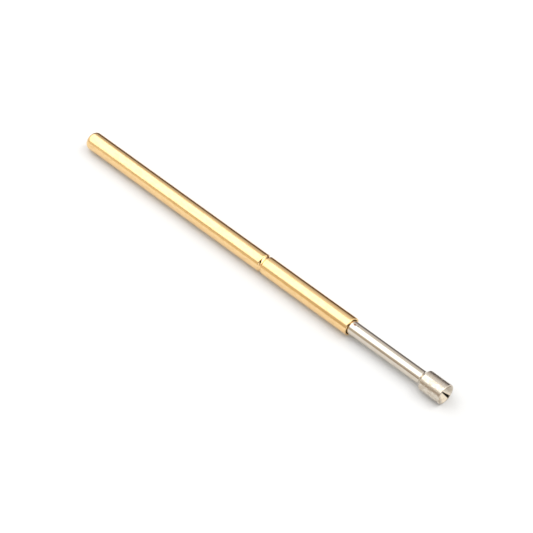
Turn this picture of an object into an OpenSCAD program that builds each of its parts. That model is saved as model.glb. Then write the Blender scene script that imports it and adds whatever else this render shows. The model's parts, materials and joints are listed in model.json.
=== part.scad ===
// Spring contact probe (pogo pin) with a cup head, lying along X.
// The origin is on the axis at the barrel's mouth; +X points to the head and +Z up.
// All sizes are in millimetres.

/* [Barrel] */
// Outer diameter of the barrel
barrel_d = 1.36; // [1.28:0.01:1.60]
// Inner diameter of the barrel
bore_d = 1.04; // [1.02:0.01:1.08]
// Length of the barrel, closed end to mouth
barrel_len = 25; // [24:0.5:34]
// Thickness of the closed end
end_wall = 0.2; // [0.12:0.02:0.5]
// Outside corner radius of the closed end
end_round = 0.42; // [0.2:0.02:0.5]
// Width of the chamfer at the mouth, outside and inside
mouth_chamfer = 0.03; // [0.01:0.01:0.04]
// Step by which the mouth is wider than the bore, on the radius
mouth_step = 0.03; // [0.02:0.01:0.04]
// Length of the widened mouth
mouth_len = 0.4; // [0.2:0.1:1]

/* [Rolled groove] */
// Distance of the groove's middle behind the mouth
groove_back = 8; // [7.6:0.1:9]
// Depth of the groove
groove_depth = 0.1; // [0.08:0.01:0.11]
// Width of the groove at the barrel's surface
groove_w = 0.3; // [0.24:0.02:0.4]
// Radius that rounds each lip of the groove
groove_lip = 0.05; // [0.02:0.01:0.08]

/* [Plunger] */
// Full travel, which is also the length of shaft between the mouth and the head
travel = 6.35; // [5:0.05:6.4]
// Diameter of the waist that the groove's rib runs over
waist_d = 0.76; // [0.6:0.02:0.84]
// Length of the tail behind the waist
tail_len = 1.6; // [1:0.1:2.5]
// Width of the chamfer on the edges of the tail and of the guided shaft
shaft_chamfer = 0.04; // [0.01:0.01:0.08]

/* [Head] */
// Diameter of the head
head_d = 1.5; // [1.36:0.02:1.8]
// Length of the head with its shoulder
head_len = 2; // [1.4:0.1:3]
// Length of the shoulder, from shaft to head
shoulder_len = 0.26; // [0.1:0.02:0.5]
// Width of the flat rim around the cup
rim_w = 0.08; // [0.02:0.01:0.12]
// Full opening angle of the cup
cup_angle = 90; // [70:5:120]

/* [Spring] */
// Diameter of the spring's wire
wire_d = 0.16; // [0.1:0.01:0.17]
// Turns that work
live_turns = 38; // [30:1:40]
// Closed turns at each end
closed_turns = 1.5; // [1:0.5:2.5]

/* [Clearances] */
// Gap around the shaft and the tail in the bore
bore_gap = 0.02; // [0.01:0.005:0.04]
// Gap around the waist in the groove's rib
waist_gap = 0.05; // [0.03:0.01:0.08]
// Gap around the spring in the bore
spring_gap = 0.04; // [0.02:0.01:0.08]
// Gap between the tail and the rib that stops it
stop_gap = 0.02; // [0.01:0.01:0.05]
// Gap between the spring and each of its seats
seat_gap = 0.01; // [0.005:0.005:0.05]
// Gap between neighbouring closed turns
turn_gap = 0.02; // [0.01:0.01:0.05]

/* [Hidden] */
$fn = 96;
over = 1; // how far a cut runs past the face that it opens

barrel_r = barrel_d / 2;
bore_r = bore_d / 2;
shaft_r = bore_r - bore_gap;
waist_r = waist_d / 2;
head_r = head_d / 2;

// Rear end: the inner corner clears the spring's first turn
rear_x = -barrel_len;
seat_x = rear_x + end_wall;
inner_round = wire_d / 2 + spring_gap;

// Mouth: a short taper leads from the bore to the widened mouth
mouth_r = bore_r + mouth_step;
taper_len = 2 * mouth_step;

// Groove: an arc of this radius has the stated width and depth at the barrel's surface
groove_x = -groove_back;
groove_r = (pow(groove_w / 2, 2) + pow(groove_depth, 2)) / (2 * groove_depth);
groove_ring_r = barrel_r - groove_depth + groove_r;
// Rib: an arc about the same centre that reaches in to the waist's gap
rib_r = groove_ring_r - waist_r - waist_gap;
// Lip: a ring inside the wall whose round touches the groove's arc and the barrel's surface
lip_ring_r = barrel_r - groove_lip;
lip_dx = sqrt(pow(groove_r + groove_lip, 2) - pow(groove_ring_r - lip_ring_r, 2));

// Plunger: the tail stops behind the rib, and the guided shaft clears it at full travel
rib_half = sqrt(pow(rib_r, 2) - pow(groove_ring_r - shaft_r, 2));
tail_x = groove_x - rib_half - stop_gap;
guide_x = groove_x + rib_half + stop_gap + travel;
tail_end_x = tail_x - tail_len;
head_x = travel;
tip_x = head_x + head_len;
cup_r = head_r - rim_w;
cup_depth = cup_r / tan(cup_angle / 2);

// Spring: closed turns at both ends, and the live turns share what is left between the seats
coil_r = bore_r - spring_gap - wire_d / 2;
spring_from = seat_x + seat_gap + wire_d / 2;
spring_to = tail_end_x - seat_gap - wire_d / 2;
closed_pitch = wire_d + turn_gap;
live_len = spring_to - spring_from - 2 * closed_turns * closed_pitch;
turns = live_turns + 2 * closed_turns;
SIDES = 8; // sides of the swept wire
STEPS = 10; // rings in one turn
RINGS = round(turns * STEPS);

// Height of the wire's centre above the rear seat after t turns
function coil_rise(t) =
    t < closed_turns ? t * closed_pitch
    : t > turns - closed_turns ? live_len + (t - live_turns) * closed_pitch
    : closed_turns * closed_pitch + (t - closed_turns) * live_len / live_turns;

// A point of the wire's skin: v around the wire, in a plane through the spring's axis
function coil_point(t, v) =
    let (r = coil_r + wire_d / 2 * cos(v))
    [spring_from + coil_rise(t) + wire_d / 2 * sin(v), r * cos(360 * t), r * sin(360 * t)];

// A straight round bar on the axis from x = a to x = b, with its own radius at each end
module bar(a, b, r, r_end = undef) {
    translate([a, 0, 0])
        rotate([0, 90, 0])
            cylinder(h = b - a, r1 = r, r2 = is_undef(r_end) ? r : r_end);
}

// A bar with a chamfer c at both ends
module chamfered_bar(a, b, r, c) {
    bar(a, a + c, r - c, r);
    bar(a + c, b - c, r);
    bar(b - c, b, r, r - c);
}

// A flat outline in (radius, distance along the axis) turned round the axis, from x
module turned(x) {
    translate([x, 0, 0])
        rotate([0, 90, 0])
            rotate_extrude()
                children();
}

// A ring of round section around the axis
module ring(x, ring_r, section_r) {
    turned(x)
        translate([ring_r, 0])
            circle(r = section_r);
}

// A bar from a to b whose end at a has its edge rounded by a quarter of a ring
module rounded_bar(a, b, r, round_r) {
    bar(a, b, r - round_r);
    bar(a + round_r, b, r);
    turned(a + round_r)
        intersection() {
            translate([r - round_r, 0])
                circle(r = round_r);
            translate([r - round_r, -round_r])
                square(round_r);
        }
}

// What the groove takes away: the arc, and on each side the wedge above the lip's round,
// cut off along the line between the two centres, which runs through the point where they touch
module groove_cut() {
    ring(groove_x, groove_ring_r, groove_r);
    for (side = [-1, 1])
        turned(groove_x)
            difference() {
                polygon([
                    [groove_ring_r, 0],
                    [lip_ring_r, side * lip_dx],
                    [barrel_r + over, side * lip_dx],
                    [barrel_r + over, 0]
                ]);
                translate([lip_ring_r, side * lip_dx])
                    circle(r = groove_lip);
            }
}

module barrel() {
    color([0.88, 0.66, 0.28])
        difference() {
            union() {
                rounded_bar(rear_x, -mouth_chamfer, barrel_r, end_round);
                bar(-mouth_chamfer, 0, barrel_r, barrel_r - mouth_chamfer);
            }
            difference() {
                rounded_bar(seat_x, over, bore_r, inner_round);
                ring(groove_x, groove_ring_r, rib_r);
            }
            bar(-mouth_len - taper_len, -mouth_len, bore_r, mouth_r);
            bar(-mouth_len, over, mouth_r);
            bar(-mouth_chamfer, mouth_chamfer, mouth_r, mouth_r + 2 * mouth_chamfer);
            groove_cut();
        }
}

module plunger() {
    color([0.78, 0.76, 0.73])
        difference() {
            union() {
                chamfered_bar(tail_end_x, tail_x, shaft_r, shaft_chamfer);
                bar(tail_x - shaft_chamfer, guide_x + shaft_chamfer, waist_r);
                bar(guide_x, guide_x + shaft_chamfer, shaft_r - shaft_chamfer, shaft_r);
                bar(guide_x + shaft_chamfer, head_x, shaft_r);
                bar(head_x, head_x + shoulder_len, shaft_r, head_r);
                bar(head_x + shoulder_len, tip_x, head_r);
            }
            bar(tip_x - cup_depth, tip_x + cup_depth, 0, 2 * cup_r);
        }
}

module spring() {
    color([0.7, 0.7, 0.72])
        polyhedron(
            points = [
                for (i = [0 : RINGS])
                    for (j = [0 : SIDES - 1])
                        coil_point(i * turns / RINGS, -j * 360 / SIDES)
            ],
            faces = concat(
                [
                    for (i = [0 : RINGS - 1])
                        for (j = [0 : SIDES - 1])
                            let (k = (j + 1) % SIDES)
                            [i * SIDES + j, i * SIDES + k, (i + 1) * SIDES + k, (i + 1) * SIDES + j]
                ],
                [[for (j = [SIDES - 1 : -1 : 0]) j]],
                [[for (j = [0 : SIDES - 1]) RINGS * SIDES + j]]
            )
        );
}

barrel();
plunger();
spring();
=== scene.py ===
"""Spring contact probe (pogo pin): looks, floor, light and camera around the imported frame."""
import json
import math

import bpy
import numpy as np
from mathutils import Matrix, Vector


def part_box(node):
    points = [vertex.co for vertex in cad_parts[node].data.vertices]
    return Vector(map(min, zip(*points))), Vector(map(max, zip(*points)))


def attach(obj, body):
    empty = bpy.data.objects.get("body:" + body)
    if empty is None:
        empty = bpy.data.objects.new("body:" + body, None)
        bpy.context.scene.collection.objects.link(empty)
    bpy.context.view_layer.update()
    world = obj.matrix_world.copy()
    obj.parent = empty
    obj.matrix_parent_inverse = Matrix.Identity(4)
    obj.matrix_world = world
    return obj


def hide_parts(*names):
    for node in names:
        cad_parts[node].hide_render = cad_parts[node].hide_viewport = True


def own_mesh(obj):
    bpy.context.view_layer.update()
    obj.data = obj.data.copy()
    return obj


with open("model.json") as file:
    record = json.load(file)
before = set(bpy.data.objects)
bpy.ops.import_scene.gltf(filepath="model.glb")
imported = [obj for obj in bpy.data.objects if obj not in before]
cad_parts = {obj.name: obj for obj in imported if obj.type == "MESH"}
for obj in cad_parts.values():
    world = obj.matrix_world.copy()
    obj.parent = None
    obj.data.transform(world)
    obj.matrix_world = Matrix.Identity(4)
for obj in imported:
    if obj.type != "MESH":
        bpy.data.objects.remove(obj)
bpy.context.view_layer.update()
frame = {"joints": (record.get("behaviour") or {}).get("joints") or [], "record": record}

MM = 0.001

# ---------------------------------------------------------------- sizes, from the frame and in mm
barrel_low, barrel_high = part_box("barrel")
plunger_low, plunger_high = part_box("plunger")
spring_low, spring_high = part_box("spring")

BARREL_R = next(m for m in frame["record"]["mounts"] if m["name"] == "barrel")["dims"]["r_mm"]
REAR_X = barrel_low.x / MM
MOUTH_X = barrel_high.x / MM
TAIL_X = plunger_low.x / MM
TIP_X = plunger_high.x / MM
HEAD_R = plunger_high.z / MM
TRAVEL = frame["joints"][0]["range_m"][1] / MM

# Sizes that the frame doesn't give, as in the part's source
BORE_R = 0.52
BORE_GAP = 0.02
SHAFT_R = BORE_R - BORE_GAP
END_WALL = 0.2
END_ROUND = 0.42
MOUTH_R = BORE_R + 0.03
MOUTH_LEN = 0.4
TAPER_LEN = 0.06
GROOVE_X = MOUTH_X - 8.0
GROOVE_DEPTH = 0.1
GROOVE_W = 0.3
GROOVE_LIP = 0.05
WAIST_R = 0.38
WAIST_GAP = 0.05
STOP_GAP = 0.02
HEAD_LEN = 2.0
HEAD_X = TIP_X - HEAD_LEN
SHOULDER_LEN = 0.26
RIM_W = 0.08
CUP_HALF_ANGLE = math.radians(45)
WIRE_R = 0.08
SPRING_GAP = 0.04
LIVE_TURNS = 38
CLOSED_TURNS = 1.5
TURN_GAP = 0.02

# Rounds on the edges
MOUTH_ROUND_OUTSIDE = 0.06
MOUTH_ROUND_INSIDE = 0.05
BORE_ROUND = 0.02
SHAFT_ROUND = 0.04
WAIST_ROUND = 0.015
NECK_ROUND = 0.03
SHOULDER_ROUND = 0.08
RIM_ROUND_OUTSIDE = 0.035
RIM_ROUND_INSIDE = 0.02
CUP_FLAT_R = 0.03
CUP_FLAT_ROUND = 0.02

# The groove is an arc about a ring round the axis, and the rib inside it an arc about the same ring
GROOVE_ARC_R = ((GROOVE_W / 2) ** 2 + GROOVE_DEPTH ** 2) / (2 * GROOVE_DEPTH)
GROOVE_RING_R = BARREL_R - GROOVE_DEPTH + GROOVE_ARC_R
RIB_ARC_R = GROOVE_RING_R - WAIST_R - WAIST_GAP

# Fineness of the meshes
LATHE_SEGMENTS = 144
SPRING_STEPS_PER_TURN = 28
WIRE_SIDES = 10


# ---------------------------------------------------------------- geometry
def rounded_profile(corners, step=math.radians(9), longest=0.6):
    """Outline of a turned piece in (x, r), with its normals, in mm.

    corners is a list of (x, r, round's radius). Each corner becomes an arc that touches both of
    its sides, and straight stretches are cut into pieces no longer than longest.
    Left of the direction of travel is outside, so the outline runs from the rear pole over the
    outside to the front pole.
    """
    points = np.array([c[:2] for c in corners], float)
    radii = np.array([c[2] for c in corners], float)
    side = np.diff(points, axis=0)
    length = np.linalg.norm(side, axis=1)
    along = side / length[:, None]
    out_p = [points[:1]]
    out_n = [np.array([[-along[0][1], along[0][0]]])]
    start = points[0]
    for i in range(1, len(points)):
        before = along[i - 1]
        normal = np.array([-before[1], before[0]])
        if i == len(points) - 1:
            turn = 0.0
            end = points[i]
        else:
            after = along[i]
            turn = math.atan2(before[0] * after[1] - before[1] * after[0], before @ after)
            end = points[i] - before * radii[i] * math.tan(abs(turn) / 2)
        count = max(1, math.ceil(np.linalg.norm(end - start) / longest))
        share = np.arange(1, count + 1)[:, None] / count
        out_p.append(start + (end - start) * share)
        out_n.append(np.repeat(normal[None], count, axis=0))
        if turn:
            count = max(1, math.ceil(abs(turn) / step))
            swing = turn * np.arange(1, count + 1) / count
            hand = math.copysign(1, turn)
            centre = end + normal * radii[i] * hand
            cos, sin = np.cos(swing), np.sin(swing)
            turned = np.stack([normal[0] * cos - normal[1] * sin,
                               normal[0] * sin + normal[1] * cos], 1)
            out_p.append(centre - turned * radii[i] * hand)
            out_n.append(turned)
            start = out_p[-1][-1]
    return np.concatenate(out_p), np.concatenate(out_n)


def mesh_object(node, verts, faces, normals, material, body):
    """A smooth mesh in metres at the origin, in place of a node of the frame and riding on body.

    normals are its vertices' own, or None to leave them to the faces.
    """
    name = node + "_finish"
    mesh = bpy.data.meshes.new(name)
    mesh.from_pydata(verts.tolist(), [], faces)
    mesh.polygons.foreach_set("use_smooth", np.ones(len(mesh.polygons), bool))
    mesh.update()
    if normals is not None:
        mesh.normals_split_custom_set_from_vertices(normals.tolist())
    mesh.materials.append(material)
    obj = bpy.data.objects.new(name, mesh)
    bpy.context.scene.collection.objects.link(obj)
    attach(obj, body)
    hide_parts(node)
    return obj


def around_axis(x, r):
    """Each (x, r) carried once round the X axis: (x, r cos a, r sin a), one ring after another."""
    a = np.arange(LATHE_SEGMENTS) * 2 * math.pi / LATHE_SEGMENTS
    rings = np.broadcast_arrays(x[:, None], r[:, None] * np.cos(a), r[:, None] * np.sin(a))
    return np.stack(rings, -1).reshape(-1, 3)


def lathe(node, corners, material):
    """A turned solid, on the body of its own name: the rounded outline carried round the X axis.

    The normals turn as the points do. Both ends of the outline lie on the axis and become one
    point each.
    """
    p, n = rounded_profile(corners)
    skin_p, skin_n = p[1:-1], n[1:-1]
    rear_pole, front_pole = [[p[0, 0], 0, 0]], [[p[-1, 0], 0, 0]]
    verts = np.concatenate([rear_pole, around_axis(*skin_p.T), front_pole])
    normals = np.concatenate([[[-1, 0, 0]], around_axis(*skin_n.T), [[1, 0, 0]]])
    rings = len(skin_p)
    row, j = np.meshgrid(np.arange(rings - 1) * LATHE_SEGMENTS + 1, np.arange(LATHE_SEGMENTS),
                         indexing="ij")
    k = (j + 1) % LATHE_SEGMENTS
    ahead = row + LATHE_SEGMENTS
    quads = np.stack([row + j, row + k, ahead + k, ahead + j], -1).reshape(-1, 4)
    j = np.arange(LATHE_SEGMENTS)
    k = (j + 1) % LATHE_SEGMENTS
    last = 1 + rings * LATHE_SEGMENTS
    first_of_last = last - LATHE_SEGMENTS
    rear = np.stack([0 * j, 1 + k, 1 + j], -1)
    front = np.stack([0 * j + last, first_of_last + j, first_of_last + k], -1)
    faces = rear.tolist() + quads.tolist() + front.tolist()
    return mesh_object(node, verts * MM, faces, normals, material, node)


# ---------------------------------------------------------------- shader maths
class Value:
    """A socket in a material; arithmetic on it adds Math nodes."""

    def __init__(self, tree, socket):
        self.tree = tree
        self.socket = socket

    def math(self, operation, a, b):
        return self.tree.node("Math", {"operation": operation}, [a, b])

    def __add__(self, other):
        return self.math("ADD", self, other)

    def __radd__(self, other):
        return self.math("ADD", other, self)

    def __mul__(self, other):
        return self.math("MULTIPLY", self, other)

    def __rmul__(self, other):
        return self.math("MULTIPLY", other, self)

    def __sub__(self, other):
        return self.math("SUBTRACT", self, other)

    def __truediv__(self, other):
        return self.math("DIVIDE", self, other)

    def __pow__(self, other):
        return self.math("POWER", self, other)

    def between(self, low, high):
        """0 below low, 1 above high, and smooth in between; low may be the larger one."""
        return self.tree.node("MapRange", {"interpolation_type": "SMOOTHSTEP"},
                              {"Value": self, "From Min": low, "From Max": high})


class Tree:
    """The nodes of one material or world."""

    def __init__(self, owner):
        owner.use_nodes = True
        self.nodes = owner.node_tree.nodes
        self.links = owner.node_tree.links
        self.nodes.clear()

    def node(self, kind, settings=None, sockets=(), out=0):
        """Adds a node, sets its settings and ramp stops, then its sockets' values or links."""
        made = self.nodes.new("ShaderNode" + kind)
        for key, value in (settings or {}).items():
            if key == "stops":
                ramp = made.color_ramp.elements
                while len(ramp) < len(value):
                    ramp.new(0.5)
                for stop, (place, colour) in zip(ramp, value):
                    stop.position = place
                    stop.color = (*colour, 1)
            else:
                setattr(made, key, value)
        pairs = sockets.items() if isinstance(sockets, dict) else enumerate(sockets)
        for key, value in pairs:
            if isinstance(value, Value):
                self.links.new(value.socket, made.inputs[key])
            else:
                made.inputs[key].default_value = value
        return Value(self, made.outputs[out]) if len(made.outputs) else None

    def mix(self, share, a, b):
        """Colour a where share is 0 and b where it is 1; a colour in numbers is (r, g, b)."""
        a, b = [c if isinstance(c, Value) else (*c, 1) for c in (a, b)]
        return self.node("Mix", {"data_type": "RGBA"}, {"Factor": share, 6: a, 7: b}, out=2)

    def vector(self, operation, a, b, out=0):
        return self.node("VectorMath", {"operation": operation}, {0: a, 1: b}, out)

    def axes(self, vector):
        """The vector's x, y and z."""
        return [self.node("SeparateXYZ", sockets=[vector], out=k) for k in range(3)]


def place_in_mm(tree):
    """The point on the piece in mm, as a vector."""
    at = tree.node("TexCoord", out="Object")
    return tree.node("VectorMath", {"operation": "SCALE"}, {0: at, "Scale": 1 / MM})


def noise(tree, at, scale, stretch=(1, 1, 1), detail=2.0):
    """Noise from 0 to 1 at a point, with scale waves a mm, stretched along each axis."""
    at = tree.vector("MULTIPLY", at, stretch)
    return tree.node("TexNoise", {}, {"Vector": at, "Scale": scale, "Detail": detail})


def near(tree, at, spot, wide):
    """1 at a spot given in mm and 0 past its edge, which a fine noise makes uneven."""
    away = tree.vector("DIVIDE", tree.vector("SUBTRACT", at, spot), wide)
    away = tree.node("VectorMath", {"operation": "LENGTH"}, {0: away}, out=1)
    return (away + 0.6 * noise(tree, at, 12)).between(1.4, 0.9)


def bump(tree, height, strength, depth):
    """The normal of a surface whose height varies by depth (mm)."""
    return tree.node("Bump", {}, {"Strength": strength, "Distance": depth * MM, "Height": height})


def finish_material(tree, **sockets):
    """Closes a metal's nodes; each argument names a socket, with _ for a space."""
    sockets = {key.replace("_", " "): value for key, value in sockets.items()}
    shader = tree.node("BsdfPrincipled", sockets={**sockets, "Metallic": 1.0})
    tree.node("OutputMaterial", sockets=[shader])


def gold_plating():
    """Gold over drawn brass: faint lines along the tube, soft blotches and browner flecks."""
    material = bpy.data.materials.new("gold_plating")
    tree = Tree(material)
    at = place_in_mm(tree)
    blotch = noise(tree, at, 1.6, (0.35, 1, 1))
    lines = noise(tree, at, 9, (0.06, 1, 1), 3)
    grain = noise(tree, at, 14)
    fleck = noise(tree, at, 5, (0.45, 1, 1), 4).between(0.46, 0.64)
    colour = tree.mix(blotch, (0.86, 0.59, 0.28), (0.92, 0.66, 0.34))
    colour = tree.mix(fleck * 0.3, colour, (0.74, 0.46, 0.2))
    rough = 0.09 + 0.05 * lines + 0.03 * blotch + 0.05 * fleck
    normal = bump(tree, lines * 0.6 + grain * 0.4, 0.25, 0.004)
    finish_material(tree, Base_Color=colour, Roughness=rough, Normal=normal)
    return material


# Smears on the shaft: place, half widths, strength and colour
SMEARS = [
    ((0.303, -0.033, 0.499), (0.13, 0.09, 0.1), 0.8, (0.30, 0.13, 0.07)),
    ((0.539, 0.019, 0.5), (0.07, 0.06, 0.1), 0.6, (0.22, 0.2, 0.2)),
]


def nickel_plating():
    """Nickel over turned metal: fine rings round the axis, a mottled head and two small smears."""
    material = bpy.data.materials.new("nickel_plating")
    tree = Tree(material)
    at = place_in_mm(tree)
    x, y, z = tree.axes(at)
    blotch = noise(tree, at, 2.2, (0.6, 1, 1))
    rings = noise(tree, at, 16, (1, 0.05, 0.05), 3)
    head = x.between(HEAD_X, HEAD_X + 0.3)
    out = (y * y + z * z) ** 0.5
    head_outside = head * out.between(HEAD_R - 0.12, HEAD_R - 0.05)
    mottle = noise(tree, at, 5, (0.7, 1, 1), 4).between(0.42, 0.62) * head
    colour = tree.mix(blotch, (0.62, 0.555, 0.46), (0.70, 0.64, 0.55))
    colour = tree.mix(mottle * 0.5, colour, (0.47, 0.38, 0.29))
    for spot, wide, strength, shade in SMEARS:
        colour = tree.mix(near(tree, at, spot, wide) * strength, colour, shade)
    rough = 0.09 + 0.05 * rings + (0.07 + 0.12 * mottle) * head_outside
    normal = bump(tree, rings, 0.2, 0.003)
    finish_material(tree, Base_Color=colour, Roughness=rough, Normal=normal)
    return material


def spring_wire():
    """Bare steel wire with a fine grain."""
    material = bpy.data.materials.new("spring_wire")
    tree = Tree(material)
    grain = noise(tree, place_in_mm(tree), 30)
    finish_material(tree, Base_Color=(0.55, 0.54, 0.52, 1), Roughness=0.3 + 0.1 * grain)
    return material


# ---------------------------------------------------------------- pieces
def barrel():
    """The tube: round rear end, rolled groove with its rib inside, and widened mouth."""
    lip_r = BARREL_R - GROOVE_LIP
    lip_slope = math.acos((GROOVE_RING_R - lip_r) / (GROOVE_ARC_R + GROOVE_LIP))
    lip_x = (GROOVE_ARC_R + GROOVE_LIP) * math.sin(lip_slope)
    lip_x -= GROOVE_LIP * math.tan(lip_slope / 2)
    valley_r = GROOVE_RING_R - GROOVE_ARC_R / math.cos(lip_slope)
    rib_slope = math.acos((GROOVE_RING_R - BORE_R) / RIB_ARC_R)
    rib_x = RIB_ARC_R * math.sin(rib_slope)
    ridge_r = GROOVE_RING_R - RIB_ARC_R / math.cos(rib_slope)
    taper_x = MOUTH_X - MOUTH_LEN
    seat_x = REAR_X + END_WALL
    outside = [
        (REAR_X, 0, 0),
        (REAR_X, BARREL_R, END_ROUND),
        (GROOVE_X - lip_x, BARREL_R, GROOVE_LIP),
        (GROOVE_X, valley_r, GROOVE_ARC_R),
        (GROOVE_X + lip_x, BARREL_R, GROOVE_LIP),
        (MOUTH_X, BARREL_R, MOUTH_ROUND_OUTSIDE),
    ]
    inside = [
        (MOUTH_X, MOUTH_R, MOUTH_ROUND_INSIDE),
        (taper_x, MOUTH_R, BORE_ROUND),
        (taper_x - TAPER_LEN, BORE_R, BORE_ROUND),
        (GROOVE_X + rib_x, BORE_R, BORE_ROUND),
        (GROOVE_X, ridge_r, RIB_ARC_R),
        (GROOVE_X - rib_x, BORE_R, BORE_ROUND),
        (seat_x, BORE_R, WIRE_R + SPRING_GAP),
        (seat_x, 0, 0),
    ]
    return lathe("barrel", outside + inside, gold_plating())


def plunger():
    """The tail, the waist that the rib runs over, the shaft, and the head with its cup."""
    rib_half = math.sqrt(RIB_ARC_R ** 2 - (GROOVE_RING_R - SHAFT_R) ** 2)
    waist_from = GROOVE_X - rib_half - STOP_GAP
    waist_to = GROOVE_X + rib_half + STOP_GAP + TRAVEL
    cup_r = HEAD_R - RIM_W
    cup_x = TIP_X - cup_r / math.tan(CUP_HALF_ANGLE) + CUP_FLAT_R
    corners = [
        (TAIL_X, 0, 0),
        (TAIL_X, SHAFT_R, SHAFT_ROUND),
        (waist_from, SHAFT_R, SHAFT_ROUND),
        (waist_from, WAIST_R, WAIST_ROUND),
        (waist_to, WAIST_R, WAIST_ROUND),
        (waist_to, SHAFT_R, SHAFT_ROUND),
        (HEAD_X, SHAFT_R, NECK_ROUND),
        (HEAD_X + SHOULDER_LEN, HEAD_R, SHOULDER_ROUND),
        (TIP_X, HEAD_R, RIM_ROUND_OUTSIDE),
        (TIP_X, cup_r, RIM_ROUND_INSIDE),
        (cup_x, CUP_FLAT_R, CUP_FLAT_ROUND),
        (cup_x, 0, 0),
    ]
    return lathe("plunger", corners, nickel_plating())


def spring():
    """A round wire swept along a helix whose turns are close at both ends.

    The wire's centre is at (rise(t), R cos t, R sin t); its skin is a circle in the plane through
    the axis, and a flat fan closes each end.
    """
    turns = LIVE_TURNS + 2 * CLOSED_TURNS
    steps = int(turns * SPRING_STEPS_PER_TURN)
    coil_r = spring_high.z / MM - WIRE_R
    first = spring_low.x / MM + WIRE_R
    last = spring_high.x / MM - WIRE_R
    t = np.linspace(0, turns, steps + 1)
    closed_len = CLOSED_TURNS * (2 * WIRE_R + TURN_GAP)
    x = np.interp(t, [0, CLOSED_TURNS, turns - CLOSED_TURNS, turns],
                  [first, first + closed_len, last - closed_len, last])
    v = np.arange(WIRE_SIDES) * 2 * math.pi / WIRE_SIDES
    r = coil_r + WIRE_R * np.cos(v)
    a = 2 * math.pi * t[:, None]
    verts = np.stack([x[:, None] + WIRE_R * np.sin(v), r * np.cos(a), r * np.sin(a)], -1)
    row, j = np.meshgrid(np.arange(steps) * WIRE_SIDES, np.arange(WIRE_SIDES), indexing="ij")
    k = (j + 1) % WIRE_SIDES
    ahead = row + WIRE_SIDES
    quads = np.stack([row + j, ahead + j, ahead + k, row + k], -1)
    fans = [list(range(WIRE_SIDES)),
            list(range((steps + 1) * WIRE_SIDES - 1, steps * WIRE_SIDES - 1, -1))]
    faces = quads.reshape(-1, 4).tolist() + fans
    obj = mesh_object("spring", verts.reshape(-1, 3) * MM, faces, None, spring_wire(), "barrel")
    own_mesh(obj)
    return obj


# ---------------------------------------------------------------- floor, light, camera
FLOOR_HALF = 1.5


def stage_floor():
    """A white table that just touches the barrel's rear and the head."""
    tilt = (HEAD_R - BARREL_R) / (TIP_X - REAR_X)
    corners = [(-FLOOR_HALF, -FLOOR_HALF), (FLOOR_HALF, -FLOOR_HALF),
               (FLOOR_HALF, FLOOR_HALF), (-FLOOR_HALF, FLOOR_HALF)]
    verts = [(x, y, -HEAD_R * MM - tilt * (x - TIP_X * MM)) for x, y in corners]
    mesh = bpy.data.meshes.new("floor")
    mesh.from_pydata(verts, [], [(0, 1, 2, 3)])
    material = bpy.data.materials.new("floor")
    tree = Tree(material)
    lit = tree.node("BsdfDiffuse", sockets={"Color": (0.65, 0.655, 0.66, 1)})
    seen = tree.node("LightPath", out="Is Camera Ray") + tree.node("LightPath", out="Is Glossy Ray")
    glow = tree.node("Emission", sockets={"Color": (0.06, 0.06, 0.06, 1), "Strength": seen})
    tree.node("OutputMaterial", sockets=[tree.node("AddShader", sockets=[lit, glow])])
    mesh.materials.append(material)
    obj = bpy.data.objects.new("floor", mesh)
    bpy.context.scene.collection.objects.link(obj)


# Colours of the room by height, from straight down (0) over the horizon (0.5 or less) to overhead
WALL_BEHIND = [
    (0.0, (0.12, 0.11, 0.115)), (0.18, (0.2, 0.185, 0.19)), (0.35, (0.57, 0.53, 0.53)),
    (0.56, (0.78, 0.75, 0.75)), (0.7, (0.95, 0.93, 0.93)), (1.0, (1.0, 1.0, 1.0)),
]
WALL_IN_FRONT = [
    (0.0, (0.52, 0.45, 0.38)), (0.25, (0.52, 0.45, 0.38)), (0.48, (0.78, 0.74, 0.68)),
    (0.7, (0.95, 0.93, 0.93)), (1.0, (1.0, 1.0, 1.0)),
]
# Dark places in the room: direction, the cosines at its edge and inside it, and colour
DARK_PLACES = [
    ((0.62, -0.455, 0.64), 0.850, 0.879, (0.02, 0.018, 0.016)),
    ((0.949, -0.175, 0.262), 0.965, 0.985, (0.01, 0.008, 0.008)),
]


def studio_world():
    """White to the camera; to all else a room, dim at the horizon and paler overhead.

    The wall behind the piece is grey and the one in front of it is a warmer brown. The wall past
    the head is bright, apart from two dark places that the metal reflects.
    """
    world = bpy.data.worlds.new("studio")
    bpy.context.scene.world = world
    tree = Tree(world)
    way = tree.node("TexCoord", out="Generated")
    along, side, up = tree.axes(way)
    behind = tree.node("ValToRGB", {"stops": WALL_BEHIND}, [up])
    front = tree.node("ValToRGB", {"stops": WALL_IN_FRONT}, [up])
    room = tree.mix(side.between(0.1, -0.1), behind, front)
    room = tree.mix(along.between(-0.75, -0.92), room, (0.95, 0.93, 0.9))
    room = tree.mix(along.between(0.1, 0.4), room, (1.35, 1.3, 1.2))
    for direction, edge, inside, colour in DARK_PLACES:
        toward = tree.vector("DOT_PRODUCT", way, direction, out=1)
        room = tree.mix(toward.between(edge, inside), room, colour)
    seen = tree.node("LightPath", out="Is Camera Ray")
    colour = tree.mix(seen, room, (1, 1, 1))
    shade = tree.node("Background", sockets={"Color": colour, "Strength": 1.0})
    tree.node("OutputWorld", sockets=[shade])


def softbox(name, centre, size, turn, radiance):
    """A level rectangle of even light overhead; radiance is how bright its face is."""
    lamp = bpy.data.lights.new(name, "AREA")
    lamp.shape = "RECTANGLE"
    lamp.size, lamp.size_y = size
    lamp.energy = radiance * math.pi * size[0] * size[1]
    obj = bpy.data.objects.new(name, lamp)
    obj.location = centre
    obj.rotation_euler.z = turn
    obj.visible_camera = False
    bpy.context.scene.collection.objects.link(obj)


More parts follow.
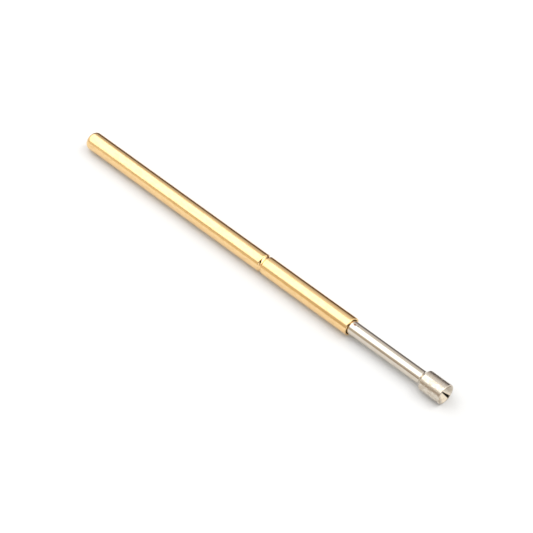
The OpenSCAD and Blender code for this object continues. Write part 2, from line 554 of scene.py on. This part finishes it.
def card(name, y, low_z, high_z, stops):
    """An upright card along the piece at y, from low_z to high_z (mm), that only metal reflects.

    stops is a list of (x, colour): the card runs from the first x to the last, and its colour
    runs from one stop's to the next one's.
    """
    x0 = stops[0][0]
    x1 = stops[-1][0]
    corners = [(x0, y, low_z), (x1, y, low_z), (x1, y, high_z), (x0, y, high_z)]
    mesh = bpy.data.meshes.new(name)
    mesh.from_pydata((np.array(corners) * MM).tolist(), [], [(0, 1, 2, 3)])
    material = bpy.data.materials.new(name)
    tree = Tree(material)
    x = tree.axes(place_in_mm(tree))[0]
    shares = [((place - x0) / (x1 - x0), colour) for place, colour in stops]
    colour = tree.node("ValToRGB", {"stops": shares}, [(x - x0) / (x1 - x0)])
    shade = tree.node("Emission", sockets={"Color": colour, "Strength": 1.0})
    tree.node("OutputMaterial", sockets=[shade])
    mesh.materials.append(material)
    obj = bpy.data.objects.new(name, mesh)
    obj.visible_camera = False
    obj.visible_diffuse = False
    obj.visible_shadow = False
    bpy.context.scene.collection.objects.link(obj)


def camera(azimuth, elevation, distance, aim_right, aim_up, focal):
    """Looks along +Y at azimuth 0; the aim is moved in the picture's own plane. In mm."""
    a = math.radians(azimuth)
    e = math.radians(elevation)
    back = Vector((math.sin(a) * math.cos(e), -math.cos(a) * math.cos(e), math.sin(e)))
    right = Vector((math.cos(a), math.sin(a), 0))
    middle = Vector(((REAR_X + TIP_X) / 2, 0, 0))
    aim = middle + right * aim_right + back.cross(right) * aim_up
    data = bpy.data.cameras.new("camera")
    data.lens = focal
    data.clip_start = 0.005
    data.clip_end = 20
    obj = bpy.data.objects.new("camera", data)
    obj.location = (aim + back * distance) * MM
    obj.rotation_euler = (-back).to_track_quat("-Z", "Y").to_euler()
    bpy.context.scene.collection.objects.link(obj)
    bpy.context.scene.camera = obj


BESIDE_GOLD = (0.12, 0.03, 0.0)
BESIDE_NICKEL = (0.12, 0.11, 0.115)
BROWN = (0.50, 0.42, 0.36)

barrel()
plunger()
spring()
stage_floor()
studio_world()
softbox("overhead", centre=(-0.2296, -0.045, 0.15), size=(0.36, 0.36), turn=math.radians(45),
        radiance=1.25)
softbox("key", centre=(0.07, 0.04, 0.2), size=(0.1, 0.3), turn=0, radiance=3.0)
card("dark_card", y=3.6, low_z=-0.7, high_z=0.6, stops=[
    (-60, BESIDE_GOLD), (-1.5, BESIDE_GOLD), (-1, BESIDE_NICKEL), (TIP_X, BESIDE_NICKEL),
])
card("brown_card", y=-60, low_z=-0.5, high_z=24, stops=[
    (-90, (0.95, 0.90, 0.80)), (-50, (0.88, 0.82, 0.66)), (-33, (0.80, 0.70, 0.50)),
    (-25, (0.56, 0.48, 0.40)), (-18, BROWN), (40, BROWN),
])
camera(azimuth=43.783, elevation=48.898, distance=203.75, aim_right=0.322, aim_up=-0.311,
       focal=202.6266)

bpy.context.scene.view_settings.view_transform = "Standard"
